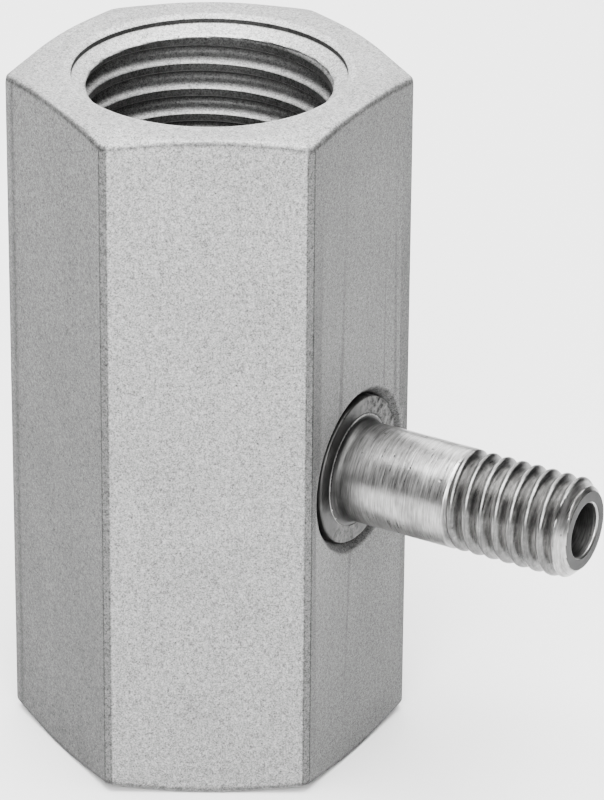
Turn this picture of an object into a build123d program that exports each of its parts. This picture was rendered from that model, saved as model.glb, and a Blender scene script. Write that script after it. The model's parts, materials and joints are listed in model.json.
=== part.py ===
from build123d import *
import math
import os

# A hexagonal fitting with a threaded port at each end and a hollow threaded spigot set in one flat.
# Millimetres. +Z runs along the ports and +X along the spigot. The origin is on the ports' axis, at the base.

# Hexagonal body
ACROSS_FLATS = 17.0
BODY_LENGTH = 35.0
CORNER_BREAK = 0.2  # each of the six long corners is cut back this far along both flats
END_CHAMFER_INSET = 0.2  # the turned chamfer leaves each end face this far inside the flats
END_CHAMFER_ANGLE = 15.0  # degrees from the end face

# Threaded ports, G 1/4: the bore is the tapping size, which is the diameter over the thread's crests
PORT_BORE = 11.8
MOUTH_STEP = 0.7  # the short plain wall above the first thread stands back this far from the bore
MOUTH_DEPTH = 0.4
MOUTH_LEAD_IN_ANGLE = 60.0  # degrees from the port's axis
LIP_WIDTH = 0.25  # softened edge between the mouth and the end face
LIP_DEPTH = 0.08
DRILL_POINT_ANGLE = 118.0
FLOW_BORE = 8.0  # joins the two ports
PORT_TO_SEAT_WALL = 0.5  # left between the lower port and the spigot's hole

# Spigot: one hollow turned piece
SPIGOT_DROP = 1.75  # of its axis below the body's middle
SPIGOT_REACH = 12.25  # from the flat to the tip
STEM_DIAMETER = 4.95  # plain shank, and the crests of the M5 thread
SPIGOT_BORE = 2.7
NOSE_CHAMFER = 0.54
BORE_CHAMFER = 0.08
COLLAR_DIAMETER = 7.4
COLLAR_THICKNESS = 1.3
COLLAR_EDGE = 0.12
COLLAR_SINK = 0.1  # how far the collar's face lies below the flat
COLLAR_FILLET = 0.45  # between the collar and the shank, where the collar has room for it
COLLAR_ROOM_USED = 0.8  # most of the collar's flat face that the fillet may take
ROOT_DIAMETER = 5.6  # the plain end inside the body
ROOT_CHAMFER = 0.2

# Seat in the flat
COLLAR_CLEARANCE = 0.1  # all round the collar
ROOT_CLEARANCE = 0.02  # all round the root
SEAT_SINK_WIDTH = 0.4  # of the countersink round the collar
SEAT_SINK_DEPTH = 0.45

# O-ring in a groove round the root
RING_THICKNESS = 0.7  # as squeezed between the groove's floor and the cross bore
RING_WIDTH = 0.9
GROOVE_WIDTH = 1.1
RING_ROUNDING = 0.21  # of the ring's edges

# Sizes that follow
FLAT_DISTANCE = ACROSS_FLATS / 2
PORT_RADIUS = PORT_BORE / 2
FLOW_RADIUS = FLOW_BORE / 2
STEM_RADIUS = STEM_DIAMETER / 2
COLLAR_RADIUS = COLLAR_DIAMETER / 2
ROOT_RADIUS = ROOT_DIAMETER / 2
CROSS_BORE_RADIUS = ROOT_RADIUS + ROOT_CLEARANCE
GROOVE_RADIUS = CROSS_BORE_RADIUS - RING_THICKNESS
COLLAR_FACE = FLAT_DISTANCE - COLLAR_SINK
COLLAR_SEAT = COLLAR_FACE - COLLAR_THICKNESS
ROOT_END = FLOW_RADIUS + ROOT_CHAMFER
GROOVE_MIDDLE = (ROOT_END + ROOT_CHAMFER + COLLAR_SEAT) / 2
SPIGOT_TIP = FLAT_DISTANCE + SPIGOT_REACH
SPIGOT_HEIGHT = BODY_LENGTH / 2 - SPIGOT_DROP
FILLET_RADIUS = min(COLLAR_FILLET, COLLAR_ROOM_USED * (COLLAR_RADIUS - COLLAR_EDGE - STEM_RADIUS))
DRILL_POINT = (PORT_RADIUS - FLOW_RADIUS) / math.tan(math.radians(DRILL_POINT_ANGLE / 2))
PORT_DEPTH = SPIGOT_HEIGHT - CROSS_BORE_RADIUS - PORT_TO_SEAT_WALL - DRILL_POINT


def turned(points):
    """A solid of revolution about Z from a closed outline of (radius, height) points."""
    return revolve(Plane.XZ * make_face(Polyline(*points, close=True)), Axis.Z)


def on_spigot_axis(shape):
    """Turn a piece made about Z so that it lies along +X at the spigot's height."""
    return Location((0, 0, SPIGOT_HEIGHT), (0, 90, 0)) * shape


def end_envelope():
    """The turned shape that chamfers both ends of the bar."""
    face_radius = FLAT_DISTANCE - END_CHAMFER_INSET
    outer_radius = ACROSS_FLATS
    drop = (outer_radius - face_radius) * math.tan(math.radians(END_CHAMFER_ANGLE))
    return turned([
        (0, 0),
        (face_radius, 0),
        (outer_radius, drop),
        (outer_radius, BODY_LENGTH - drop),
        (face_radius, BODY_LENGTH),
        (0, BODY_LENGTH),
    ])


def port_cut():
    """The hollow of one port, with its mouth at the origin and running down -Z to the flow bore."""
    mouth_radius = PORT_RADIUS + MOUTH_STEP
    lead_in = MOUTH_STEP / math.tan(math.radians(MOUTH_LEAD_IN_ANGLE))
    return turned([
        (0, 0),
        (mouth_radius + LIP_WIDTH, 0),
        (mouth_radius, -LIP_DEPTH),
        (mouth_radius, -MOUTH_DEPTH),
        (PORT_RADIUS, -MOUTH_DEPTH - lead_in),
        (PORT_RADIUS, -PORT_DEPTH),
        (FLOW_RADIUS, -PORT_DEPTH - DRILL_POINT),
        (0, -PORT_DEPTH - DRILL_POINT),
    ])


def seat_cut():
    """The stepped hole that takes the spigot, about Z, from the flow bore out through the flat."""
    seat_radius = COLLAR_RADIUS + COLLAR_CLEARANCE
    return turned([
        (0, 0),
        (CROSS_BORE_RADIUS, 0),
        (CROSS_BORE_RADIUS, COLLAR_SEAT),
        (seat_radius, COLLAR_SEAT),
        (seat_radius, FLAT_DISTANCE - SEAT_SINK_DEPTH),
        (seat_radius + SEAT_SINK_WIDTH, FLAT_DISTANCE),
        (0, FLAT_DISTANCE),
    ])


def make_hex_body():
    """The bar with its broken corners, turned ends, two ports, flow bore and spigot seat."""
    bar = extrude(RegularPolygon(FLAT_DISTANCE, 6, major_radius=False, rotation=30), BODY_LENGTH)
    bar = chamfer(bar.edges().filter_by(Axis.Z), CORNER_BREAK)
    body = bar & end_envelope()
    body -= Pos(0, 0, BODY_LENGTH) * port_cut()
    body -= Rot(180, 0, 0) * port_cut()
    body -= Pos(0, 0, BODY_LENGTH / 2) * Cylinder(FLOW_RADIUS, BODY_LENGTH)
    body -= on_spigot_axis(seat_cut())
    return body


def make_side_spigot():
    """The hollow spigot: root with its ring groove, collar, fillet, plain shank and threaded end."""
    groove_low = GROOVE_MIDDLE - GROOVE_WIDTH / 2
    groove_high = GROOVE_MIDDLE + GROOVE_WIDTH / 2
    bore_radius = SPIGOT_BORE / 2
    fillet_start = (STEM_RADIUS + FILLET_RADIUS, COLLAR_FACE)
    fillet_end = (STEM_RADIUS, COLLAR_FACE + FILLET_RADIUS)
    below = Polyline(
        (bore_radius, ROOT_END),
        (ROOT_RADIUS - ROOT_CHAMFER, ROOT_END),
        (ROOT_RADIUS, ROOT_END + ROOT_CHAMFER),
        (ROOT_RADIUS, groove_low),
        (GROOVE_RADIUS, groove_low),
        (GROOVE_RADIUS, groove_high),
        (ROOT_RADIUS, groove_high),
        (ROOT_RADIUS, COLLAR_SEAT),
        (COLLAR_RADIUS, COLLAR_SEAT),
        (COLLAR_RADIUS, COLLAR_FACE - COLLAR_EDGE),
        (COLLAR_RADIUS - COLLAR_EDGE, COLLAR_FACE),
        fillet_start,
    )
    fillet_arc = TangentArc(fillet_start, fillet_end, tangent=(-1, 0))
    above = Polyline(
        fillet_end,
        (STEM_RADIUS, SPIGOT_TIP - NOSE_CHAMFER),
        (STEM_RADIUS - NOSE_CHAMFER, SPIGOT_TIP),
        (bore_radius + BORE_CHAMFER, SPIGOT_TIP),
        (bore_radius, SPIGOT_TIP - BORE_CHAMFER),
        (bore_radius, ROOT_END),
    )
    outline = make_face(below.edges() + fillet_arc.edges() + above.edges())
    return on_spigot_axis(revolve(Plane.XZ * outline, Axis.Z))


def make_spigot_o_ring():
    """The ring as it sits squeezed: flat where it presses on the groove and the bore, round at its sides."""
    middle_radius = GROOVE_RADIUS + RING_THICKNESS / 2
    section = Pos(middle_radius, GROOVE_MIDDLE) * RectangleRounded(
        RING_THICKNESS, RING_WIDTH, RING_ROUNDING
    )
    return on_spigot_axis(revolve(Plane.XZ * section, Axis.Z))


PIECES = {
    "hex_body": make_hex_body,
    "side_spigot": make_side_spigot,
    "spigot_o_ring": make_spigot_o_ring,
}

os.makedirs("parts", exist_ok=True)
for name, make in PIECES.items():
    piece = make()
    piece.label = name
    export_step(piece, f"parts/{name}.step")
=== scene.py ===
import json
import math

import bmesh
import bpy
from bpy.props import FloatProperty, FloatVectorProperty, IntProperty, PointerProperty
from mathutils import Matrix, Vector, noise


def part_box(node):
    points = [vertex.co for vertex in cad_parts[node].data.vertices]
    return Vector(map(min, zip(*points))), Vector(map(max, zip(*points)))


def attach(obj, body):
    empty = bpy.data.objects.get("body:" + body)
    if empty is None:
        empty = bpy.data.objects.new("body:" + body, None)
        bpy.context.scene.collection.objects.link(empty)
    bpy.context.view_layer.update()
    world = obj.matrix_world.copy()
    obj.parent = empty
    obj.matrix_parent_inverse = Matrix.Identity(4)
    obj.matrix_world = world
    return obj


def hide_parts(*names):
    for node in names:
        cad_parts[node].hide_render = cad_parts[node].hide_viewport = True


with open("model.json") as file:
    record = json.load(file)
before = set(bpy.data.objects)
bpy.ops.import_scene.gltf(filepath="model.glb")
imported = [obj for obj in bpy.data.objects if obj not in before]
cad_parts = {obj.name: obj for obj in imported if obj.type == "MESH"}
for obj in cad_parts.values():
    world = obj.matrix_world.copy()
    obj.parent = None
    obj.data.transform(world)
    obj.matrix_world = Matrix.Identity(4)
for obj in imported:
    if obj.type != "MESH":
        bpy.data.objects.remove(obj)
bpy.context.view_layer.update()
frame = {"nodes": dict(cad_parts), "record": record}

bl_info = {
    "name": "Hexagonal Fitting",
    "version": (1, 0, 0),
    "blender": (4, 5, 0),
    "location": "View3D > Sidebar > Fitting",
    "description": "Builds a hexagonal fitting with two threaded ports and a side spigot round its CAD frame",
    "category": "Object",
}

MM = 0.001
TURN = 2 * math.pi

# Places and sizes that the frame fixes
MOUNTS = {mount["name"]: mount for mount in frame["record"]["mounts"]}
BODY_LOW, BODY_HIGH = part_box("hex_body")
SPIGOT_LOW, SPIGOT_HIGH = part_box("side_spigot")
FLAT_DISTANCE = BODY_HIGH.x
BODY_LENGTH = BODY_HIGH.z
CORNER_DISTANCE = BODY_HIGH.y
COLLAR_RADIUS = SPIGOT_HIGH.y
SPIGOT_AXIS_Z = (SPIGOT_LOW.z + SPIGOT_HIGH.z) / 2
PORT_RADIUS = MOUNTS["top_port"]["dims"]["r_mm"] * MM
PORT_WALL = MOUNTS["top_port"]["dims"]["length_mm"] * MM
STEM_RADIUS = MOUNTS["spigot_thread"]["dims"]["r_mm"] * MM

# Each corner is cut back flat; this is where that cut meets the side, from the middle of the side
SIDES = 6
SECTOR = math.pi / SIDES
BREAK_ANGLE = math.atan((CORNER_DISTANCE / FLAT_DISTANCE - math.cos(SECTOR)) / math.sin(SECTOR))
BREAK = math.degrees(BREAK_ANGLE)

# Rings round the ports' axis all have the same points, so that they join point to point.
# These are half a side's, from the middle of a flat to the middle of a corner.
HALF_SIDE_DEGREES = (5, 10, 15, 20, 24, 25.6, 27.2, BREAK - 0.5, BREAK, BREAK + 0.25, BREAK + 0.6, 30)
RING_POINTS = SIDES * 2 * len(HALF_SIDE_DEGREES)
STEM_POINTS = 192
NEAR = 0.01 * MM  # allowance when a point is sorted by the part that it lies on


# ---------------------------------------------------------------- settings


def length(name, description, default):
    return FloatProperty(name=name, description=description, default=default, min=0.0,
                         subtype="DISTANCE", unit="LENGTH", precision=5)


def angle_of(name, description, degrees):
    return FloatProperty(name=name, description=description, default=math.radians(degrees), subtype="ANGLE")


def colour(name, description, default):
    return FloatVectorProperty(name=name, description=description, default=default, size=3,
                               subtype="COLOR", min=0.0, max=1.0)


class BodySizes(bpy.types.PropertyGroup):
    edge_softness: length("Edge softness", "How far the blasting rounds an outer edge", 0.32 * MM)
    chamfer_inset: length("Chamfer inset", "Where the end chamfer starts, inside the flats", 0.2 * MM)
    chamfer_angle: angle_of("Chamfer angle", "Of the end chamfer, from the end face", 15)
    mouth_step: length("Mouth step", "How far the mouth stands back from the bore", 0.7 * MM)
    mouth_depth: length("Mouth depth", "Of the plain wall above the thread", 0.4 * MM)
    lead_in_angle: angle_of("Lead-in angle", "Of the cone at the mouth, from the axis", 60)
    lip_width: length("Lip width", "Of the softened edge at the mouth", 0.33 * MM)
    lip_depth: length("Lip depth", "Of the softened edge at the mouth", 0.14 * MM)
    flow_radius: length("Flow radius", "Of the bore that joins the ports", 4.0 * MM)
    drill_point: length("Drill point", "Length of the cone at a port's end", 1.14 * MM)
    seat_clearance: length("Seat clearance", "Gap round the collar", 0.1 * MM)
    sink_width: length("Sink width", "Of the countersink round the collar", 0.4 * MM)
    sink_depth: length("Sink depth", "Of the countersink round the collar", 0.45 * MM)


class PortThreadSizes(bpy.types.PropertyGroup):
    pitch: length("Pitch", "Nineteen threads to the inch", 25.4 / 19 * MM)
    depth: length("Depth", "From crest to root", 0.66 * MM)
    run_out: length("Run-out", "Over which the thread fades at its inner end", 3.2 * MM)
    lead_in: length("Lead-in", "The thread fades over the inner half of this, at the mouth", 0.76 * MM)
    crest_height: length("Crest height", "Of one crest below the mouth, where the phase angle is", 2.41 * MM)
    crest_angle: angle_of("Crest angle", "Phase angle of the thread, from the spigot", 118.8)
    rows: IntProperty(name="Rows", description="Mesh rows in one pitch", default=24, min=8)


class StemThreadSizes(bpy.types.PropertyGroup):
    pitch: length("Pitch", "Of the spigot's thread", 0.8 * MM)
    depth: length("Depth", "From crest to root", 0.46 * MM)
    extent: length("Length", "Of the threaded end", 6.45 * MM)
    run_out: length("Run-out", "Over which the thread fades at the shank", 0.25 * MM)
    lead_in: length("Lead-in", "The thread fades over the inner half of this, at the nose", 0.15 * MM)
    crest_angle: angle_of("Crest angle", "Phase angle of the thread, from straight up", 112.5)
    rows: IntProperty(name="Rows", description="Mesh rows in one pitch", default=18, min=8)


class SpigotSizes(bpy.types.PropertyGroup):
    bore_radius: length("Bore radius", "Of the hole through the spigot", 1.35 * MM)
    nose_chamfer: length("Nose chamfer", "At the tip", 0.54 * MM)
    bore_chamfer: length("Bore chamfer", "At the mouth of the hole", 0.08 * MM)
    collar_thickness: length("Collar thickness", "Of the collar", 1.3 * MM)
    collar_sink: length("Collar sink", "Of the collar's face below the flat", 0.1 * MM)
    fillet: length("Fillet", "Between the collar and the shank", 0.45 * MM)
    root_radius: length("Root radius", "Of the plain end inside the body", 2.8 * MM)
    groove_radius: length("Groove radius", "Of the floor of the ring's groove", 2.12 * MM)
    groove_width: length("Groove width", "Of the ring's groove", 1.1 * MM)
    edge: length("Edge", "Rounding of the turned edges", 0.04 * MM)


class Finishes(bpy.types.PropertyGroup):
    body_colour: colour("Body", "Blasted metal of the body", (0.24, 0.24, 0.238))
    spigot_colour: colour("Spigot", "Turned metal of the spigot", (0.27, 0.268, 0.264))
    seal_colour: colour("Seal", "Rubber of the ring", (0.022, 0.022, 0.024))
    floor_colour: colour("Floor", "Of the floor", (0.55, 0.55, 0.55))
    grain: length("Grain", "Size of the blasted grain", 0.13 * MM)


class StageSettings(bpy.types.PropertyGroup):
    azimuth: angle_of("Azimuth", "Of the camera round the object", 29.71)
    elevation: angle_of("Elevation", "Of the camera above the horizon", 26.64)
    roll: angle_of("Roll", "Of the camera about its own axis", 0.49)
    distance: length("Distance", "From the camera to its aim", 254.8 * MM)
    aim_right: length("Aim right", "Of the aim, to the camera's right of the ports' axis", 4.534 * MM)
    aim_height: length("Aim height", "Of the aim above the floor", 17.406 * MM)
    lens: FloatProperty(name="Lens", description="Focal length", default=233.59, subtype="DISTANCE_CAMERA")
    floor_size: length("Floor size", "Side of the floor", 3.0)
    sky: FloatProperty(name="Sky", description="Brightness of the surroundings", default=0.06, min=0.0)


SETTINGS = {
    "fitting_body": BodySizes,
    "fitting_port_thread": PortThreadSizes,
    "fitting_stem_thread": StemThreadSizes,
    "fitting_spigot": SpigotSizes,
    "fitting_finishes": Finishes,
    "fitting_stage": StageSettings,
}


# ---------------------------------------------------------------- node helpers


def add_node(tree, kind, inputs=None, **settings):
    """One node with its settings and its inputs, each a value or another node's socket."""
    node = tree.nodes.new(kind)
    for name, value in settings.items():
        setattr(node, name, value)
    for key, value in (inputs or {}).items():
        if isinstance(value, bpy.types.NodeSocket):
            tree.links.new(value, node.inputs[key])
        else:
            node.inputs[key].default_value = value
    return node


def maths(tree, operation, *values):
    """The result of one sum on sockets and numbers."""
    return add_node(tree, "ShaderNodeMath", dict(enumerate(values)), operation=operation).outputs[0]


def product(tree, value, *factors):
    """The value times each factor in turn."""
    for factor in factors:
        value = maths(tree, "MULTIPLY", value, factor)
    return value


def add_object(name, data):
    """A new object in the scene."""
    added = bpy.data.objects.new(name, data)
    bpy.context.scene.collection.objects.link(added)
    return added


# ---------------------------------------------------------------- screw threads


THREAD_INPUTS = (
    "Pitch", "Depth", "Radius", "End Radius", "End Slope", "Run Out", "Lead In", "Low", "High",
    "Crest Turns", "First Row",
)

# Depth over the run from the middle of a crest, 0, to the middle of the groove, 1
TAPPED_FORM = ((0, 0), (0.27, 0), (0.34, 0.1), (0.74, 0.9), (0.84, 0.985), (1, 1))
CUT_FORM = ((0, 0), (0.2, 0.045), (0.4, 0.19), (0.7, 0.56), (1, 1))


def thread_tree(name, form):
    """Geometry nodes for the surface of one screw thread, an open sleeve about Z.

    Rows follow the helix and columns run along the axis. Rows past either end gather on that end's circle.
    A thread that is cut inwards from its crests has a negative Depth.
    """
    tree = bpy.data.node_groups.new(name, "GeometryNodeTree")
    for label in THREAD_INPUTS:
        tree.interface.new_socket(name=label, in_out="INPUT", socket_type="NodeSocketFloat")
    for label in ("Columns", "Rows", "Rows Per Pitch"):
        tree.interface.new_socket(name=label, in_out="INPUT", socket_type="NodeSocketInt")
    tree.interface.new_socket(name="Material", in_out="INPUT", socket_type="NodeSocketMaterial")
    tree.interface.new_socket(name="Geometry", in_out="OUTPUT", socket_type="NodeSocketGeometry")
    given = tree.nodes.new("NodeGroupInput").outputs

    grid = add_node(tree, "GeometryNodeMeshGrid", {
        "Size X": 1.0,
        "Size Y": 1.0,
        "Vertices X": maths(tree, "ADD", given["Columns"], 1),
        "Vertices Y": given["Rows"],
    })
    across = add_node(tree, "ShaderNodeSeparateXYZ", {0: grid.outputs["UV Map"]})
    turn = across.outputs["X"]
    row = maths(tree, "MULTIPLY", across.outputs["Y"], maths(tree, "SUBTRACT", given["Rows"], 1))
    row = maths(tree, "ROUND", row)
    lead = maths(tree, "ADD", given["First Row"], maths(tree, "DIVIDE", row, given["Rows Per Pitch"]))

    # height of the row at this turn, held between the two ends
    climb = maths(tree, "ADD", lead, maths(tree, "SUBTRACT", turn, given["Crest Turns"]))
    height = maths(tree, "MULTIPLY", climb, given["Pitch"])
    height = maths(tree, "MINIMUM", maths(tree, "MAXIMUM", height, given["Low"]), given["High"])

    # depth from the form, fading out at both ends
    side = maths(tree, "MULTIPLY", maths(tree, "PINGPONG", lead, 0.5), 2)
    curve = add_node(tree, "ShaderNodeFloatCurve", {"Value": side})
    points = curve.mapping.curves[0].points
    points[0].location, points[1].location = form[0], form[-1]
    for place in form[1:-1]:
        points.new(*place)
    curve.mapping.update()
    above_low = maths(tree, "SUBTRACT", height, given["Low"])
    below_high = maths(tree, "SUBTRACT", given["High"], height)
    fade_in = add_node(tree, "ShaderNodeMapRange", {"Value": above_low, "From Max": given["Run Out"]},
                       interpolation_type="SMOOTHSTEP").outputs["Result"]
    half_lead_in = maths(tree, "MULTIPLY", given["Lead In"], 0.5)
    fade_out = add_node(tree, "ShaderNodeMapRange", {
        "Value": below_high, "From Min": half_lead_in, "From Max": given["Lead In"],
    }, interpolation_type="SMOOTHSTEP").outputs["Result"]
    cut = product(tree, curve.outputs["Value"], given["Depth"], fade_in, fade_out)
    thread_radius = maths(tree, "ADD", given["Radius"], cut)

    # cone at the high end, on the same side of the metal as the thread
    side_sign = maths(tree, "SIGN", given["Depth"])
    narrowed = maths(tree, "MULTIPLY", below_high, given["End Slope"])
    cone = maths(tree, "SUBTRACT", maths(tree, "MULTIPLY", given["End Radius"], side_sign), narrowed)
    radius = maths(tree, "MAXIMUM", maths(tree, "MULTIPLY", thread_radius, side_sign), cone)
    radius = maths(tree, "MULTIPLY", radius, side_sign)

    angle = maths(tree, "MULTIPLY", turn, TURN)
    place = add_node(tree, "ShaderNodeCombineXYZ", {
        "X": maths(tree, "MULTIPLY", radius, maths(tree, "COSINE", angle)),
        "Y": maths(tree, "MULTIPLY", radius, maths(tree, "SINE", angle)),
        "Z": height,
    })
    moved = add_node(tree, "GeometryNodeSetPosition", {
        "Geometry": grid.outputs["Mesh"], "Position": place.outputs[0],
    })
    merged = add_node(tree, "GeometryNodeMergeByDistance", {
        "Geometry": moved.outputs["Geometry"], "Distance": 0.0005 * MM,
    })
    real = add_node(tree, "GeometryNodeRealizeInstances", {"Geometry": merged.outputs["Geometry"]})
    finished = add_node(tree, "GeometryNodeSetMaterial", {
        "Geometry": real.outputs["Geometry"], "Material": given["Material"],
    })
    out = tree.nodes.new("NodeGroupOutput")
    tree.links.new(finished.outputs["Geometry"], out.inputs["Geometry"])
    return tree


def thread_sleeve(tree, sizes, radius, end_radius, end_slope, low, high, crest_turns, columns, material):
    """The thread's surface between two heights, as a plain mesh."""
    rows = sizes.rows * (math.ceil((high - low) / sizes.pitch) + 4)
    values = {
        "Pitch": sizes.pitch,
        "Depth": math.copysign(sizes.depth, end_radius - radius),
        "Radius": radius,
        "End Radius": end_radius,
        "End Slope": end_slope,
        "Run Out": sizes.run_out,
        "Lead In": sizes.lead_in,
        "Low": low,
        "High": high,
        "Crest Turns": crest_turns,
        "First Row": float(math.floor(low / sizes.pitch + crest_turns) - 2),
        "Columns": columns,
        "Rows": rows,
        "Rows Per Pitch": sizes.rows,
        "Material": material,
    }
    blank = add_object("thread_blank", bpy.data.meshes.new("thread_blank"))
    modifier = blank.modifiers.new("Thread", "NODES")
    modifier.node_group = tree
    for item in tree.interface.items_tree:
        if item.in_out == "INPUT":
            modifier[item.identifier] = values[item.name]
    graph = bpy.context.evaluated_depsgraph_get()
    mesh = bpy.data.meshes.new_from_object(blank.evaluated_get(graph))
    bpy.data.objects.remove(blank)
    return mesh


# ---------------------------------------------------------------- mesh helpers


def smooth_step(low, high, value):
    """0 up to low and 1 past high, with a smooth rise between; low may be the larger."""
    t = min(1.0, max(0.0, (value - low) / (high - low)))
    return t * t * (3 - 2 * t)


def round_corner(before, corner, after, radius, steps=4):
    """Points that round a corner of an outline, from radius before it to radius after it."""
    start = corner + (before - corner).normalized() * min(radius, (before - corner).length * 0.45)
    end = corner + (after - corner).normalized() * min(radius, (after - corner).length * 0.45)
    return [start.lerp(corner, t).lerp(corner.lerp(end, t), t) for t in (i / steps for i in range(steps + 1))]


def softened(points, steps=4):
    """An outline of (across, along, rounding) points with its corners rounded."""
    places = [Vector(p[:2]) for p in points]
    out = [places[0]]
    for i in range(1, len(points) - 1):
        if points[i][2]:
            out += round_corner(places[i - 1], places[i], places[i + 1], points[i][2], steps)
        else:
            out.append(places[i])
    return out + [places[-1]]


def join_rings(bm, rings):
    """Quads between each ring and the next."""
    for low, high in zip(rings, rings[1:]):
        for i in range(len(low)):
            k = (i + 1) % len(low)
            bm.faces.new((low[i], low[k], high[k], high[i]))


def turned_rings(bm, columns, outline):
    """Rings of a turned surface from its (radius, height) outline."""
    angles = [TURN * i / columns for i in range(columns)]
    rings = [[bm.verts.new((radius * math.cos(angle), radius * math.sin(angle), height)) for angle in angles]
             for radius, height in outline]
    join_rings(bm, rings)
    return rings


def finish_mesh(bm, name, material, smooth_angle=math.radians(32), merge=0.001 * MM):
    """A new object from the bmesh, closed, facing outwards and smooth where it bends gently."""
    bmesh.ops.remove_doubles(bm, verts=bm.verts, dist=merge)
    bmesh.ops.dissolve_degenerate(bm, dist=merge / 4, edges=bm.edges)
    bmesh.ops.recalc_face_normals(bm, faces=bm.faces)
    for edge in bm.edges:
        edge.smooth = len(edge.link_faces) != 2 or edge.calc_face_angle() < smooth_angle
    for face in bm.faces:
        face.smooth = True
    mesh = bpy.data.meshes.new(name)
    bm.to_mesh(mesh)
    bm.free()
    mesh.materials.clear()
    mesh.materials.append(material)
    return add_object(name, mesh)


def check_closed(piece):
    """Stops the script if the piece has an open or a shared edge."""
    bm = bmesh.new()
    bm.from_mesh(piece.data)
    bad = sum(1 for edge in bm.edges if not edge.is_manifold)
    volume = bm.calc_volume(signed=True)
    bm.free()
    if bad or volume <= 0:
        raise RuntimeError(f"{piece.name} isn't a closed solid: {bad} bad edges, volume {volume}")


def place_piece(piece, node):
    """The piece is attached to the root body, and the CAD node that it stands for is hidden."""
    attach(piece, "root")
    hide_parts(node)


# ---------------------------------------------------------------- materials


def new_material(name):
    """A new material, with its node tree and its shader."""
    material = bpy.data.materials.new(name)
    material.use_nodes = True
    return material, material.node_tree, material.node_tree.nodes["Principled BSDF"]


def noise_value(tree, place, size, detail=2.0, roughness=0.5, stretch=(1, 1, 1)):
    """Noise from 0 to 1 whose features are about this size, in metres, in Object coordinates."""
    mapped = add_node(tree, "ShaderNodeMapping", {"Vector": place, "Scale": Vector(stretch) / size})
    found = add_node(tree, "ShaderNodeTexNoise", {
        "Vector": mapped.outputs[0], "Scale": 1.0, "Detail": detail, "Roughness": roughness,
    })
    return found.outputs["Fac"]


def spots(tree, place, spacing, size, share_kept):
    """Round spots, 1 at their middles and 0 elsewhere, in some of the cells of a grid of this spacing."""
    cells = add_node(tree, "ShaderNodeTexVoronoi", {"Vector": place, "Scale": 1 / spacing})
    near = add_node(tree, "ShaderNodeMapRange", {
        "Value": cells.outputs["Distance"], "From Min": size / spacing, "From Max": 0.4 * size / spacing,
    }).outputs["Result"]
    chance = add_node(tree, "ShaderNodeSeparateColor", {0: cells.outputs["Color"]}).outputs[0]
    return maths(tree, "MULTIPLY", near, maths(tree, "LESS_THAN", chance, share_kept))


def ranged(tree, value, low, high, from_low=0.0, from_high=1.0):
    """The value carried from one range to another and held within it."""
    return add_node(tree, "ShaderNodeMapRange", {
        "Value": value, "From Min": from_low, "From Max": from_high, "To Min": low, "To Max": high,
    }).outputs["Result"]


def tinted(tree, base, factor):
    """A colour made lighter or darker by a factor."""
    return add_node(tree, "ShaderNodeVectorMath", {0: base, "Scale": factor}, operation="SCALE").outputs[0]


def mixed(tree, mask, low, high):
    """A value that runs from low to high as the mask runs from 0 to 1; both may be sockets."""
    return maths(tree, "ADD", maths(tree, "MULTIPLY", mask, maths(tree, "SUBTRACT", high, low)), low)


def mark_value(tree, name):
    """The number that the surface carries under this name."""
    return add_node(tree, "ShaderNodeAttribute", attribute_name=name).outputs["Fac"]


def add_bump(tree, shader, height, strength, distance):
    bump = add_node(tree, "ShaderNodeBump", {"Height": height, "Strength": strength, "Distance": distance})
    tree.links.new(bump.outputs["Normal"], shader.inputs["Normal"])


def blasted_metal(finishes):
    """Fine blasted grey metal: an even grain, soft clouding, small pits and dark dotted lines along its
    edges.

    Where the surface is marked as machined it is smoother and brighter, and where it is marked as a line
    it is darker and dotted. Its tone mark carries painted light and shade: painted highlights and painted
    shade in the ports, and painted shade round the collar and on the sides.
    """
    material, tree, shader = new_material("blasted_metal")
    place = add_node(tree, "ShaderNodeTexCoord").outputs["Object"]
    machined = mark_value(tree, "machined")
    line = mark_value(tree, "line")
    # Painted light and shade, read from the body's tone mark
    painted_light_mark = mark_value(tree, "tone_with_painted_light")

    fine = noise_value(tree, place, 0.6 * finishes.grain, detail=3.0, roughness=0.65)
    coarse = noise_value(tree, place, 1.6 * finishes.grain, detail=2.0)
    grain = mixed(tree, 0.25, fine, coarse)
    clouds = noise_value(tree, place, 3.5 * MM, detail=3.0)
    streaks = noise_value(tree, place, 0.5 * MM, detail=3.0, stretch=(1, 1, 0.04))
    pits = spots(tree, place, 0.9 * MM, 0.07 * MM, 0.35)
    specks = spots(tree, place, 0.26 * MM, 0.05 * MM, 0.45)
    dots = ranged(tree, noise_value(tree, place, 0.22 * MM, detail=1.0), 0.0, 1.0, 0.42, 0.62)

    # Dark dotted lines along the marked corner edges, rims and drawn line
    worn = maths(tree, "MULTIPLY", line, ranged(tree, dots, 0.62, 1.0))
    tone_with_painted_light = product(tree, ranged(tree, grain, 0.35, 1.65, 0.35, 0.65), ranged(tree, clouds, 0.86, 1.14),
                   ranged(tree, streaks, 0.94, 1.06), painted_light_mark, ranged(tree, pits, 1.0, 0.35),
                   ranged(tree, specks, 1.0, 0.48), ranged(tree, worn, 1.0, 0.22))
    tree.links.new(tinted(tree, finishes.body_colour, tone_with_painted_light), shader.inputs["Base Color"])
    tree.links.new(mixed(tree, machined, ranged(tree, grain, 0.64, 0.8), 0.32), shader.inputs["Roughness"])
    shader.inputs["Metallic"].default_value = 1.0

    height = maths(tree, "SUBTRACT", grain, maths(tree, "ADD", pits, maths(tree, "MULTIPLY", worn, 0.6)))
    add_bump(tree, shader, height, 0.6, 0.02 * MM)
    return material


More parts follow.
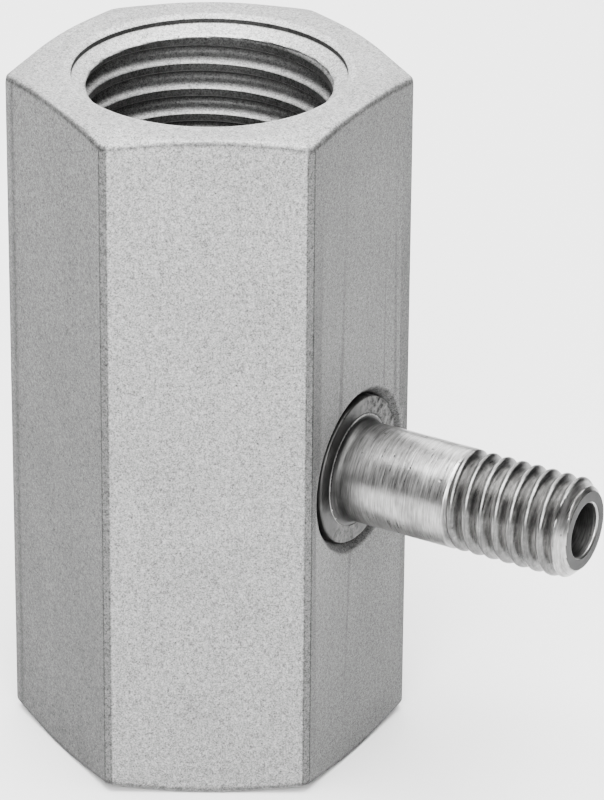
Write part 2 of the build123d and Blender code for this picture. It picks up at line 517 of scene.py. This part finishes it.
def turned_metal(finishes):
    """Bright turned metal with fine rings round the spigot's axis and small dents.

    Where the surface is marked as worn it is rough and chipped, where it carries painted shade it is dark and
    rougher, and where it is marked as facing the tip it carries painted shade in patches.
    """
    material, tree, shader = new_material("turned_metal")
    place = add_node(tree, "ShaderNodeTexCoord").outputs["Object"]
    worn = mark_value(tree, "worn")
    # Painted shade, which also makes the metal rougher
    dull_painted_shade = mark_value(tree, "dull_painted_shade")
    facing = mark_value(tree, "facing")
    rings = noise_value(tree, place, 0.07 * MM, detail=3.0, roughness=0.7, stretch=(1, 0.06, 0.06))
    clouds = noise_value(tree, place, 1.2 * MM, detail=2.0)
    dents = spots(tree, place, 0.55 * MM, 0.08 * MM, 0.3)
    chips = noise_value(tree, place, 0.25 * MM, detail=4.0, roughness=0.65)

    # Painted shade, in patches, on the thread's flanks that face the tip
    patchy_painted_shade = maths(tree, "MULTIPLY", facing, ranged(tree, chips, 0.75, 1.15, 0.35, 0.65))
    tone_with_painted_light = product(tree, ranged(tree, rings, 0.55, 1.5, 0.3, 0.7), ranged(tree, clouds, 0.7, 1.3, 0.3, 0.7),
                   ranged(tree, dents, 1.0, 0.45), ranged(tree, patchy_painted_shade, 1.0, 0.36))
    chipped = ranged(tree, chips, 0.05, 0.4, 0.38, 0.58)
    tone_with_painted_light = mixed(tree, worn, maths(tree, "MULTIPLY", tone_with_painted_light, ranged(tree, dull_painted_shade, 1.0, 0.05)), chipped)
    tree.links.new(tinted(tree, finishes.spigot_colour, tone_with_painted_light), shader.inputs["Base Color"])
    roughness = mixed(tree, worn, mixed(tree, dull_painted_shade, ranged(tree, rings, 0.2, 0.42), 0.45), 0.55)
    tree.links.new(roughness, shader.inputs["Roughness"])
    shader.inputs["Metallic"].default_value = 1.0

    height = mixed(tree, worn, maths(tree, "SUBTRACT", rings, dents), maths(tree, "MULTIPLY", chips, 4.0))
    add_bump(tree, shader, height, 0.4, 0.015 * MM)
    return material


def ring_rubber(finishes):
    """Dull black rubber with a fine moulded grain."""
    material, tree, shader = new_material("ring_rubber")
    place = add_node(tree, "ShaderNodeTexCoord").outputs["Object"]
    grain = noise_value(tree, place, 0.08 * MM, detail=2.0)
    shade = tinted(tree, finishes.seal_colour, ranged(tree, grain, 0.8, 1.2))
    tree.links.new(shade, shader.inputs["Base Color"])
    tree.links.new(ranged(tree, grain, 0.55, 0.7), shader.inputs["Roughness"])
    add_bump(tree, shader, grain, 0.3, 0.01 * MM)
    return material


def floor_paint(finishes):
    """Matt pale paper for the floor."""
    material, _, shader = new_material("floor_paper")
    shader.inputs["Base Color"].default_value = (*finishes.floor_colour, 1)
    shader.inputs["Roughness"].default_value = 0.9
    shader.inputs["Specular IOR Level"].default_value = 0.1
    return material


# ---------------------------------------------------------------- hexagonal body


def column_angle(i):
    """Angle of a column of the outer skin: columns gather at the corners."""
    steps = len(HALF_SIDE_DEGREES)
    side, step = divmod(i + steps, 2 * steps)
    step -= steps
    within = math.copysign(HALF_SIDE_DEGREES[abs(step) - 1], step) if step else 0.0
    return math.radians(side * 360 / SIDES + within)


def angle_off_flat(angle):
    """How far this angle is from the middle of the nearest flat."""
    return abs((angle + SECTOR) % (2 * SECTOR) - SECTOR)


def hex_radius(angle):
    """Distance from the axis to the broken-cornered hexagon at this angle."""
    off_flat = angle_off_flat(angle)
    flat = FLAT_DISTANCE / math.cos(off_flat)
    corner = CORNER_DISTANCE / math.cos(SECTOR - off_flat)
    return min(flat, corner)


# Extra rings keep the shading and the marks within their own parts: on the bar below its end chamfer, on the
# end face inside each of its edges, and on the mouth's wall above its foot
SIDE_RINGS = (0.9 * MM, 0.75 * MM)
FACE_RING = 0.5 * MM
WALL_RINGS = (0.08 * MM, 0.05 * MM)


def chamfer_drop(radius, sizes):
    """How far the end chamfer lies below the end face at this radius."""
    return (radius - (FLAT_DISTANCE - sizes.chamfer_inset)) * math.tan(sizes.chamfer_angle)


def outer_profile(radius, sizes):
    """Outline of the skin in one column, from the middle of a side up to the flat end face."""
    face_radius = FLAT_DISTANCE - sizes.chamfer_inset
    drop = chamfer_drop(radius, sizes)
    return softened([
        (radius, BODY_LENGTH / 2, 0),
        *((radius, BODY_LENGTH - drop - below, 0) for below in SIDE_RINGS),
        (radius, BODY_LENGTH - drop, sizes.edge_softness),
        (face_radius, BODY_LENGTH, sizes.edge_softness),
        (face_radius - FACE_RING, BODY_LENGTH, 0),
    ])


def add_skin(bm, sizes):
    """The upper half of the outer skin, from mid-height to the end face."""
    columns = []
    for i in range(RING_POINTS):
        angle = column_angle(i)
        profile = outer_profile(hex_radius(angle), sizes)
        columns.append([bm.verts.new((p.x * math.cos(angle), p.x * math.sin(angle), p.y)) for p in profile])
    rings = [list(ring) for ring in zip(*columns)]
    join_rings(bm, rings)
    return rings[-1]


def add_mouth(bm, sizes, face_ring):
    """The lip and the plain wall of the upper port, joined to the end face."""
    mouth_radius = PORT_RADIUS + sizes.mouth_step
    top = BODY_LENGTH
    outline = softened([
        (mouth_radius + sizes.lip_width + FACE_RING, top, 0),
        (mouth_radius + sizes.lip_width, top, 0.12 * MM),
        (mouth_radius, top - sizes.lip_depth, 0.05 * MM),
        *((mouth_radius, top - sizes.mouth_depth + above, 0) for above in WALL_RINGS),
        (mouth_radius, top - sizes.mouth_depth, 0),
    ])
    rings = turned_rings(bm, RING_POINTS, outline)
    join_rings(bm, [face_ring, rings[0]])


def add_port_floor(bm, sizes, low):
    """The drill's cone below the upper port's bore, and the flow bore down to mid-height."""
    turned_rings(bm, RING_POINTS, softened([
        (PORT_RADIUS, low, 0),
        (PORT_RADIUS, low - 0.05 * MM, 0),
        (sizes.flow_radius, low - sizes.drill_point, 0.08 * MM),
        (sizes.flow_radius, BODY_LENGTH / 2, 0),
    ]))


def half_body(sizes, thread, tree, material, crest_turns):
    """The upper half of the body, open at mid-height."""
    mouth_low = BODY_LENGTH - sizes.mouth_depth
    slope = math.tan(sizes.lead_in_angle)
    bore_low = mouth_low - sizes.mouth_step / slope - PORT_WALL
    sleeve = thread_sleeve(tree, thread, PORT_RADIUS, PORT_RADIUS + sizes.mouth_step, slope, bore_low,
                           mouth_low, crest_turns, RING_POINTS, material)
    bm = bmesh.new()
    bm.from_mesh(sleeve)
    bpy.data.meshes.remove(sleeve)
    face_ring = add_skin(bm, sizes)
    add_mouth(bm, sizes, face_ring)
    add_port_floor(bm, sizes, bore_low)
    return bm


def round_spigot(place):
    """Distance from the spigot's axis, and degrees round it from straight up towards +Y."""
    across, up = place.y, place.z - SPIGOT_AXIS_Z
    return math.hypot(across, up), math.degrees(math.atan2(across, up)) % 360


# The seat's edge strays from round by this much, and by more near its roughest place, given in degrees
# round from straight up, in waves of this size
STRAY, ROUGH_STRAY, ROUGHEST, STRAY_SIZE = 0.02 * MM, 0.07 * MM, 50, 0.6 * MM


def seat_cutter(sizes, spigot, material):
    """The turned hole for the spigot, as a solid along +X."""
    collar_seat = FLAT_DISTANCE - spigot.collar_sink - spigot.collar_thickness
    seat_radius = COLLAR_RADIUS + sizes.seat_clearance
    sink_radius = seat_radius + sizes.sink_width
    clearance = 0.02 * MM
    hole_radius = spigot.root_radius + clearance
    low, top = sizes.flow_radius / 2, FLAT_DISTANCE + 0.5 * MM  # inside the flow bore and clear of the flat
    brink_radius = sink_radius + 0.25 * MM  # the seat's edge on the flat is eased out towards here
    bm = bmesh.new()
    turned_rings(bm, STEM_POINTS, softened([
        (0.0, low, 0),
        (hole_radius, low, 0),
        (hole_radius, collar_seat, 0),
        (seat_radius, collar_seat, 0),
        (seat_radius, FLAT_DISTANCE - sizes.sink_depth, 0.05 * MM),
        (sink_radius, FLAT_DISTANCE - 0.02 * MM, 0.12 * MM),
        (brink_radius, FLAT_DISTANCE + 0.04 * MM, 0),
        (brink_radius, top, 0),
        (0.0, top, 0),
    ]))
    bmesh.ops.transform(bm, matrix=spigot_matrix(), verts=bm.verts)
    for vertex in bm.verts:
        across, up = vertex.co.y, vertex.co.z - SPIGOT_AXIS_Z
        spread, clock = round_spigot(vertex.co)
        if spread > seat_radius - NEAR and vertex.co.x > FLAT_DISTANCE - 0.6 * MM:
            stray = STRAY + ROUGH_STRAY * smooth_step(55, 15, abs(clock - ROUGHEST))
            grow = 1 + stray * noise.noise(Vector((across, up, 0)) / STRAY_SIZE) / spread
            vertex.co.y, vertex.co.z = across * grow, SPIGOT_AXIS_Z + up * grow
    return finish_mesh(bm, "seat_cutter", material)


def spigot_matrix():
    """Turns what is made about +Z to lie along +X at the spigot's height; up stays up at angle zero."""
    turn = Matrix(((0, 0, 1), (0, 1, 0), (-1, 0, 0))).to_4x4()
    return Matrix.Translation((0, 0, SPIGOT_AXIS_Z)) @ turn


def cut_away(piece, cutter):
    """Cuts the cutter out of the piece and removes it."""
    modifier = piece.modifiers.new("Cut", "BOOLEAN")
    modifier.operation = "DIFFERENCE"
    modifier.solver = "EXACT"
    modifier.object = cutter
    graph = bpy.context.evaluated_depsgraph_get()
    mesh = bpy.data.meshes.new_from_object(piece.evaluated_get(graph))
    piece.modifiers.remove(modifier)
    piece.data = mesh
    bpy.data.objects.remove(cutter)


def mark_surface(piece, name, value_at):
    """Writes a number for each vertex, which the material reads by this name."""
    mark = piece.data.attributes.new(name, "FLOAT", "POINT")
    mark.data.foreach_set("value", [value_at(vertex.co) for vertex in piece.data.vertices])


def in_port(place, sizes):
    """Whether the point lies within the mouth's lip."""
    return math.hypot(place.x, place.y) < PORT_RADIUS + sizes.mouth_step + sizes.lip_width + NEAR


def end_depth(place):
    """How far the point is from the nearer end face."""
    return min(place.z, BODY_LENGTH - place.z)


# In a port, a crest's smooth top ends this far out from the bore. The cutter's smooth surface shows below
# the first of these depths, and grows between the other two.
CREST_EDGE = 0.1 * MM
SMOOTH_START, SMOOTH_GROWS, SMOOTH_FULL = 0.7 * MM, 3.0 * MM, 7.0 * MM


def machined_share(place, sizes):
    """How smooth the metal is: most on the ports' crests, and then on their deeper turns."""
    depth = end_depth(place)
    if not in_port(place, sizes) or depth <= SMOOTH_START:
        return 0.0
    crest = smooth_step(PORT_RADIUS + CREST_EDGE, PORT_RADIUS, math.hypot(place.x, place.y))
    return max(0.6 * crest, 0.5 * smooth_step(SMOOTH_GROWS, SMOOTH_FULL, depth))


# Painted shade on each side: how light it is painted at its top, middle and foot, by the number of
# sixty-degree steps from the spigot; the same for the corners, each by the side that it follows
SIDE_PAINTED_SHADES = {0: (0.62, 0.44, 0.62), 1: (0.9, 0.86, 0.9), 2: (0.9, 0.85, 0.82), 3: (0.86, 0.82, 0.86),
              4: (0.68, 0.55, 0.5), 5: (1.1, 1.05, 1.0)}
CORNER_PAINTED_SHADES = {0: 0.7, 1: 0.7, 2: 0.7, 3: 0.7, 4: 0.54, 5: 0.57}
CORNER_START, CORNER_FULL = BREAK - 0.1, BREAK + 0.2  # degrees from the middle of a side


def painted_side_shade(place):
    """How light the bar is painted here, as painted shade, from its side or corner and its height."""
    degrees = math.degrees(math.atan2(place.y, place.x)) % 360
    side = round(degrees / 60) % SIDES
    foot, middle, top = SIDE_PAINTED_SHADES[side][::-1]
    along = place.z / BODY_LENGTH
    tone_with_painted_light = middle + (top - middle) * (2 * along - 1) if along > 0.5 else foot + (middle - foot) * 2 * along
    corner = smooth_step(CORNER_START, CORNER_FULL, math.degrees(angle_off_flat(math.radians(degrees))))
    return tone_with_painted_light * (1 - corner) + CORNER_PAINTED_SHADES[int(degrees // 60)] * corner


# Painted light and shade in a port: how light each part is painted; a groove is painted lighter than the
# crests by the first of its two numbers at its edges, and loses the second by its root
LIP_PAINTED_HIGHLIGHT, WALL_PAINTED_SHADE, CONE_PAINTED_LIGHT, CREST_PAINTED_SHADE = 1.25, 0.16, 1.0, 0.32
GROOVE_EDGE_PAINTED_LIGHT, GROOVE_ROOT_PAINTED_SHADE = 1.55, 1.5


def painted_port_light(radius, depth, sizes):
    """Painted light and shade in a port: painted highlights on its lip and cone and in its grooves, painted
    shade on its wall and crests.
    """
    cone_foot = sizes.mouth_depth + sizes.mouth_step / math.tan(sizes.lead_in_angle)
    if depth < sizes.lip_depth + NEAR:
        return LIP_PAINTED_HIGHLIGHT
    if depth < sizes.mouth_depth - 0.04 * MM:
        return WALL_PAINTED_SHADE
    if depth < cone_foot + 0.036 * MM:
        return CONE_PAINTED_LIGHT + 0.35 * smooth_step(PORT_RADIUS, PORT_RADIUS + CREST_EDGE, radius)
    # Painted highlight at the grooves' edges, fading to painted shade at their roots
    groove = smooth_step(PORT_RADIUS + 0.02 * MM, PORT_RADIUS + CREST_EDGE, radius)
    root = min(1.0, (radius - PORT_RADIUS) / (0.4 * MM))
    return CREST_PAINTED_SHADE + groove * (GROOVE_EDGE_PAINTED_LIGHT - GROOVE_ROOT_PAINTED_SHADE * root)


def painted_light_at(place, sizes):
    """The painted light and shade on the metal: in the ports, round the collar, on the end faces and on each
    side.
    """
    radius = math.hypot(place.x, place.y)
    depth = end_depth(place)
    if in_port(place, sizes):
        return painted_port_light(radius, depth, sizes)
    seat_reach = COLLAR_RADIUS + sizes.seat_clearance + sizes.sink_width + 0.1 * MM
    # Painted shade in the countersink round the collar, lightening towards the flat
    if place.x > 0 and round_spigot(place)[0] < seat_reach:
        return 0.4 + 0.3 * smooth_step(FLAT_DISTANCE - 0.12 * MM, FLAT_DISTANCE - 0.01 * MM, place.x)
    chamfer_foot = chamfer_drop(hex_radius(math.atan2(place.y, place.x)), sizes)
    if radius < FLAT_DISTANCE - 0.5 * MM or depth < chamfer_foot + 0.03 * MM:
        return 1.0
    return painted_side_shade(place)


# Lines on the bar. Along it, by degrees round it: half the width of those at the cut-back corners, then the
# place, half the width and the strength of one drawn line. Round its ends: the middle and half the width.
CORNER_LINE = 0.24
DRAWN_LINE, DRAWN_WIDTH, DRAWN_STRENGTH = -145.6, 0.5, 0.6
RIM_LINE = 0.15 * MM


def line_share(place, sizes):
    """1 along the edges of the cut-back corners and the end faces' rims, less on one drawn line."""
    angle = math.atan2(place.y, place.x)
    radius = hex_radius(angle)
    if math.hypot(place.x, place.y) < radius - 0.1 * MM:
        return 0.0
    off_break = math.degrees(abs(angle_off_flat(angle) - BREAK_ANGLE))
    off_drawn = abs(math.degrees(angle) - DRAWN_LINE)
    off_rim = abs(end_depth(place) - chamfer_drop(radius, sizes) - RIM_LINE)
    return max(0.0, 1.0 - off_break / CORNER_LINE, DRAWN_STRENGTH * (1.0 - off_drawn / DRAWN_WIDTH),
               1.0 - off_rim / RIM_LINE)


LOWER_CREST_TURNS = 0.25  # where the lower port's thread starts; a free choice


class FITTING_OT_hex_body(bpy.types.Operator):
    """Make the hexagonal body with its two threaded ports and the spigot's seat"""
    bl_idname = "fitting.hex_body"
    bl_label = "Hexagonal Body"

    def execute(self, context):
        scene = context.scene
        sizes, thread = scene.fitting_body, scene.fitting_port_thread
        material = blasted_metal(scene.fitting_finishes)
        tree = thread_tree("tapped_thread", TAPPED_FORM)
        crest_turns = thread.crest_angle / TURN - (BODY_LENGTH - thread.crest_height) / thread.pitch
        bm = half_body(sizes, thread, tree, material, crest_turns % 1.0)
        lower = half_body(sizes, thread, tree, material, LOWER_CREST_TURNS)
        bmesh.ops.rotate(lower, verts=lower.verts, cent=(0, 0, BODY_LENGTH / 2),
                         matrix=Matrix.Rotation(math.pi, 3, "X"))
        spare = bpy.data.meshes.new("lower_half")
        lower.to_mesh(spare)
        lower.free()
        bm.from_mesh(spare)
        bpy.data.meshes.remove(spare)
        piece = finish_mesh(bm, "blasted_body", material)
        check_closed(piece)
        cut_away(piece, seat_cutter(sizes, scene.fitting_spigot, material))
        mark_surface(piece, "machined", lambda place: machined_share(place, sizes))
        mark_surface(piece, "line", lambda place: line_share(place, sizes))
        # The tone mark holds the body's painted light and shade
        mark_surface(piece, "tone_with_painted_light", lambda place: painted_light_at(place, sizes))
        place_piece(piece, "hex_body")
        return {"FINISHED"}


# ---------------------------------------------------------------- side spigot


# The spigot's root and collar, and rings beyond the collar's face and before the thread that keep the marks
# and the shading even along the shank
ROOT_CHAMFER, COLLAR_EDGE = 0.2 * MM, 0.12 * MM
SHANK_RINGS, JOINT_RING = (1.0 * MM, 1.6 * MM), 0.08 * MM

# How far the fillet and the small raised edge round it reach out from the shank, and the edge's height
FILLET_REACH, RAISED_TOP, RAISED_FOOT, RAISED_HEIGHT = 0.33 * MM, 0.36 * MM, 0.39 * MM, 0.03 * MM


def spigot_outline(spigot, thread):
    """Outline of the spigot from its bore round the root and collar to the start of the thread."""
    root_end = SPIGOT_LOW.x
    collar_face = FLAT_DISTANCE - spigot.collar_sink
    collar_seat = collar_face - spigot.collar_thickness
    groove_middle = (root_end + ROOT_CHAMFER + collar_seat) / 2
    half_groove = spigot.groove_width / 2
    thread_start = SPIGOT_HIGH.x - thread.extent
    fillet = [
        (STEM_RADIUS + FILLET_REACH * (1 - math.sin(turn)),
         collar_face + spigot.fillet * (1 - math.cos(turn)), 0)
        for turn in (math.radians(15 * i) for i in range(7))
    ]
    return [
        (spigot.bore_radius, root_end, 0),
        (spigot.root_radius, root_end, ROOT_CHAMFER),
        (spigot.root_radius, groove_middle - half_groove, spigot.edge),
        (spigot.groove_radius, groove_middle - half_groove, spigot.edge),
        (spigot.groove_radius, groove_middle + half_groove, spigot.edge),
        (spigot.root_radius, groove_middle + half_groove, spigot.edge),
        (spigot.root_radius, collar_seat, 0),
        (COLLAR_RADIUS, collar_seat, spigot.edge),
        (COLLAR_RADIUS, collar_face, COLLAR_EDGE),
        *((COLLAR_RADIUS - COLLAR_EDGE * i, collar_face, 0) for i in range(2, 6)),
        (STEM_RADIUS + RAISED_FOOT, collar_face, 0),
        (STEM_RADIUS + RAISED_TOP, collar_face + RAISED_HEIGHT, 0),
        *fillet,
        *((STEM_RADIUS, collar_face + along, 0) for along in SHANK_RINGS),
        (STEM_RADIUS, thread_start - JOINT_RING, 0),
        (STEM_RADIUS, thread_start, 0),
    ]


# Stretches where the collar was staked and scraped: middle, in degrees round from straight up, half width,
# how far past that it has faded out, and strength
WORN_STRETCHES = ((45, 10, 45, 1.0), (200, 5, 30, 0.7))
COLLAR_TOP = FLAT_DISTANCE + 0.1 * MM  # above the collar's face, worn or not


def worn_share(place):
    """How worn the collar is: staked at its upper far side and scraped at its lower near side."""
    spread, clock = round_spigot(place)
    if place.x > COLLAR_TOP or spread < STEM_RADIUS + 0.25 * MM:
        return 0.0
    return max(strength * smooth_step(fade, 5, abs(clock - middle) - half)
               for middle, half, fade, strength in WORN_STRETCHES)


# Strength of the painted shade, which also dulls the metal, on the tip's face, the bore, the collar's face
# and the shank's foot
TIP_PAINTED_SHADE, BORE_PAINTED_SHADE, FACE_PAINTED_SHADE, SHANK_PAINTED_SHADE = 1.0, 0.8, 0.9, 0.95


def painted_shade_share(place, spigot):
    """How much painted shade darkens and dulls the metal: on the tip's face, in the bore, on the collar's
    face and at the foot of the shank.

    It stays bright on the small raised edge round the fillet, and a little way into the bore.
    """
    spread = round_spigot(place)[0]
    past_flat = place.x - FLAT_DISTANCE
    if place.x > SPIGOT_HIGH.x - NEAR:
        return TIP_PAINTED_SHADE
    if spread < spigot.bore_radius + 0.045 * MM:
        return BORE_PAINTED_SHADE * smooth_step(0.1 * MM, 0.25 * MM, SPIGOT_HIGH.x - place.x)
    if spread > STEM_RADIUS + FILLET_REACH and place.x < COLLAR_TOP:
        return 0.0 if spread < STEM_RADIUS + RAISED_FOOT - NEAR else FACE_PAINTED_SHADE
    return SHANK_PAINTED_SHADE * smooth_step(1.5 * MM, 0.1 * MM, past_flat)


def mark_flank_painted_shade(piece, name, spigot, thread):
    """Marks painted shade on the thread's flanks, by how far each point faces the tip."""
    thread_start = SPIGOT_HIGH.x - thread.extent
    nose_start = SPIGOT_HIGH.x - spigot.nose_chamfer + 0.04 * MM
    values = []
    for vertex, normal in zip(piece.data.vertices, piece.data.vertex_normals):
        depth = STEM_RADIUS - round_spigot(vertex.co)[0]
        if depth > thread.depth + 0.06 * MM or vertex.co.x > nose_start:
            values.append(0.0)
            continue
        on_thread = smooth_step(thread_start - 0.05 * MM, thread_start + 0.15 * MM, vertex.co.x)
        off_root = smooth_step(thread.depth - 0.02 * MM, thread.depth - 0.18 * MM, depth)
        values.append(on_thread * smooth_step(-0.4, 0.0, normal.vector.x) * off_root)
    mark = piece.data.attributes.new(name, "FLOAT", "POINT")
    mark.data.foreach_set("value", values)


def roughen_collar(bm):
    """Raises and sinks the collar's face by a few hundredths where it is worn."""
    for vertex in bm.verts:
        place = vertex.co
        on_face = FLAT_DISTANCE - 0.3 * MM < place.x < FLAT_DISTANCE + 0.05 * MM
        if on_face and round_spigot(place)[0] > STEM_RADIUS + RAISED_FOOT + NEAR:
            amount = worn_share(place) * 0.09 * MM
            place.x += amount * noise.fractal(place / (0.45 * MM), 0.8, 2.0, 3)


class FITTING_OT_side_spigot(bpy.types.Operator):
    """Make the hollow spigot with its collar, plain shank and threaded end"""
    bl_idname = "fitting.side_spigot"
    bl_label = "Side Spigot"

    def execute(self, context):
        scene = context.scene
        spigot, thread = scene.fitting_spigot, scene.fitting_stem_thread
        material = turned_metal(scene.fitting_finishes)
        tree = thread_tree("cut_thread", CUT_FORM)
        tip = SPIGOT_HIGH.x
        nose_radius = STEM_RADIUS - spigot.nose_chamfer
        sleeve = thread_sleeve(tree, thread, STEM_RADIUS, nose_radius, 1.0, tip - thread.extent, tip,
                               (thread.crest_angle / TURN - tip / thread.pitch) % 1.0, STEM_POINTS, material)
        bm = bmesh.new()
        bm.from_mesh(sleeve)
        bpy.data.meshes.remove(sleeve)
        turned_rings(bm, STEM_POINTS, softened(spigot_outline(spigot, thread), steps=5))
        turned_rings(bm, STEM_POINTS, softened([
            (nose_radius, tip, 0),
            (spigot.bore_radius + spigot.bore_chamfer, tip, 0.02 * MM),
            (spigot.bore_radius, tip - spigot.bore_chamfer, 0.03 * MM),
            (spigot.bore_radius, tip - spigot.bore_chamfer - 0.2 * MM, 0),
            (spigot.bore_radius, SPIGOT_LOW.x, 0),
        ]))
        bmesh.ops.transform(bm, matrix=spigot_matrix(), verts=bm.verts)
        roughen_collar(bm)
        piece = finish_mesh(bm, "turned_spigot", material)
        check_closed(piece)
        mark_surface(piece, "worn", worn_share)
        # Painted shade on the tip's face, the bore, the collar's face and the shank's foot
        mark_surface(piece, "dull_painted_shade", lambda place: painted_shade_share(place, spigot))
        # Painted shade on the thread's flanks that face the tip
        mark_flank_painted_shade(piece, "facing", spigot, thread)
        place_piece(piece, "side_spigot")
        return {"FINISHED"}


# ---------------------------------------------------------------- seal


class FITTING_OT_seal_ring(bpy.types.Operator):
    """Give the rubber ring inside the seat its finish"""
    bl_idname = "fitting.seal_ring"
    bl_label = "Seal Ring"

    def execute(self, context):
        ring = frame["nodes"]["spigot_o_ring"]
        material = ring_rubber(context.scene.fitting_finishes)
        for i in range(len(ring.material_slots)):
            ring.material_slots[i].material = material
        return {"FINISHED"}


# ---------------------------------------------------------------- stage


# Each light's name, its place to the camera's right, towards the camera and above the object's middle,
# its size and its power
LIGHTS = (
    ("overhead_light", 0.0, 0.07, 0.5, 0.5, 18.0),
    ("front_light", -0.04, 0.48, 0.28, 0.42, 10.0),
    ("rear_light", 0.0, -0.4, 0.4, 0.7, 7.0),
)


def add_area_light(name, place, aim, size, power):
    """A round soft light that points at its aim."""
    light = bpy.data.lights.new(name, "AREA")
    light.shape = "DISK"
    light.size = size
    light.energy = power
    lamp = add_object(name, light)
    lamp.location = place
    lamp.rotation_euler = (aim - place).to_track_quat("-Z", "Y").to_euler()


def camera_axes(stage):
    """The camera's right, up and back directions, before its roll."""
    a, e = stage.azimuth, stage.elevation
    back = Vector((math.sin(a) * math.cos(e), -math.cos(a) * math.cos(e), math.sin(e)))
    right = Vector((math.cos(a), math.sin(a), 0))
    return right, back.cross(right), back


def add_camera(stage):
    """The camera, turned about its own axis and moved off its aim by the stage's settings."""
    right, up, back = camera_axes(stage)
    aim = right * stage.aim_right + Vector((0, 0, stage.aim_height))
    right, up = (
        right * math.cos(stage.roll) + up * math.sin(stage.roll),
        up * math.cos(stage.roll) - right * math.sin(stage.roll),
    )
    data = bpy.data.cameras.new("camera")
    data.lens = stage.lens
    data.clip_start = 0.01
    camera = add_object("camera", data)
    turned = Matrix((right, up, back)).transposed().to_4x4()
    camera.matrix_world = Matrix.Translation(aim + back * stage.distance) @ turned
    bpy.context.scene.camera = camera


def add_floor(stage, material):
    bm = bmesh.new()
    bmesh.ops.create_grid(bm, x_segments=1, y_segments=1, size=stage.floor_size / 2)
    mesh = bpy.data.meshes.new("floor")
    bm.to_mesh(mesh)
    bm.free()
    mesh.materials.append(material)
    floor = add_object("floor", mesh)


class FITTING_OT_stage(bpy.types.Operator):
    """Make the floor, the soft lights and the camera"""
    bl_idname = "fitting.stage"
    bl_label = "Stage"

    def execute(self, context):
        stage = context.scene.fitting_stage
        add_floor(stage, floor_paint(context.scene.fitting_finishes))
        world = bpy.data.worlds.new("surroundings")
        world.use_nodes = True
        background = world.node_tree.nodes["Background"]
        background.inputs["Color"].default_value = (1, 1, 1, 1)
        background.inputs["Strength"].default_value = stage.sky
        context.scene.world = world
        right, _, back = camera_axes(stage)
        level = Vector((back.x, back.y, 0)).normalized()
        centre = Vector((0, 0, BODY_LENGTH / 2))
        for name, to_right, to_front, above, size, power in LIGHTS:
            place = centre + right * to_right + level * to_front + Vector((0, 0, above))
            add_area_light(name, place, centre, size, power)
        add_camera(stage)
        return {"FINISHED"}


# ---------------------------------------------------------------- add-on


OPERATORS = (FITTING_OT_hex_body, FITTING_OT_side_spigot, FITTING_OT_seal_ring, FITTING_OT_stage)


class FITTING_PT_sidebar(bpy.types.Panel):
    """Lists the fitting's sizes and the steps that build it"""
    bl_idname = "FITTING_PT_sidebar"
    bl_label = "Hexagonal Fitting"
    bl_space_type = "VIEW_3D"
    bl_region_type = "UI"
    bl_category = "Fitting"

    def draw(self, context):
        for name, group in SETTINGS.items():
            box = self.layout.box()
            box.label(text=name.removeprefix("fitting_").replace("_", " ").capitalize())
            for prop in group.__annotations__:
                box.prop(getattr(context.scene, name), prop)
        for operator in OPERATORS:
            self.layout.operator(operator.bl_idname)


def register():
    for cls in (*SETTINGS.values(), *OPERATORS, FITTING_PT_sidebar):
        bpy.utils.register_class(cls)
    for name, group in SETTINGS.items():
        setattr(bpy.types.Scene, name, PointerProperty(type=group))


def unregister():
    for name in SETTINGS:
        delattr(bpy.types.Scene, name)
    for cls in reversed((*SETTINGS.values(), *OPERATORS, FITTING_PT_sidebar)):
        bpy.utils.unregister_class(cls)


def main():
    register()
    bpy.ops.fitting.hex_body()
    bpy.ops.fitting.side_spigot()
    bpy.ops.fitting.seal_ring()
    bpy.ops.fitting.stage()


if __name__ == "__main__":
    main()
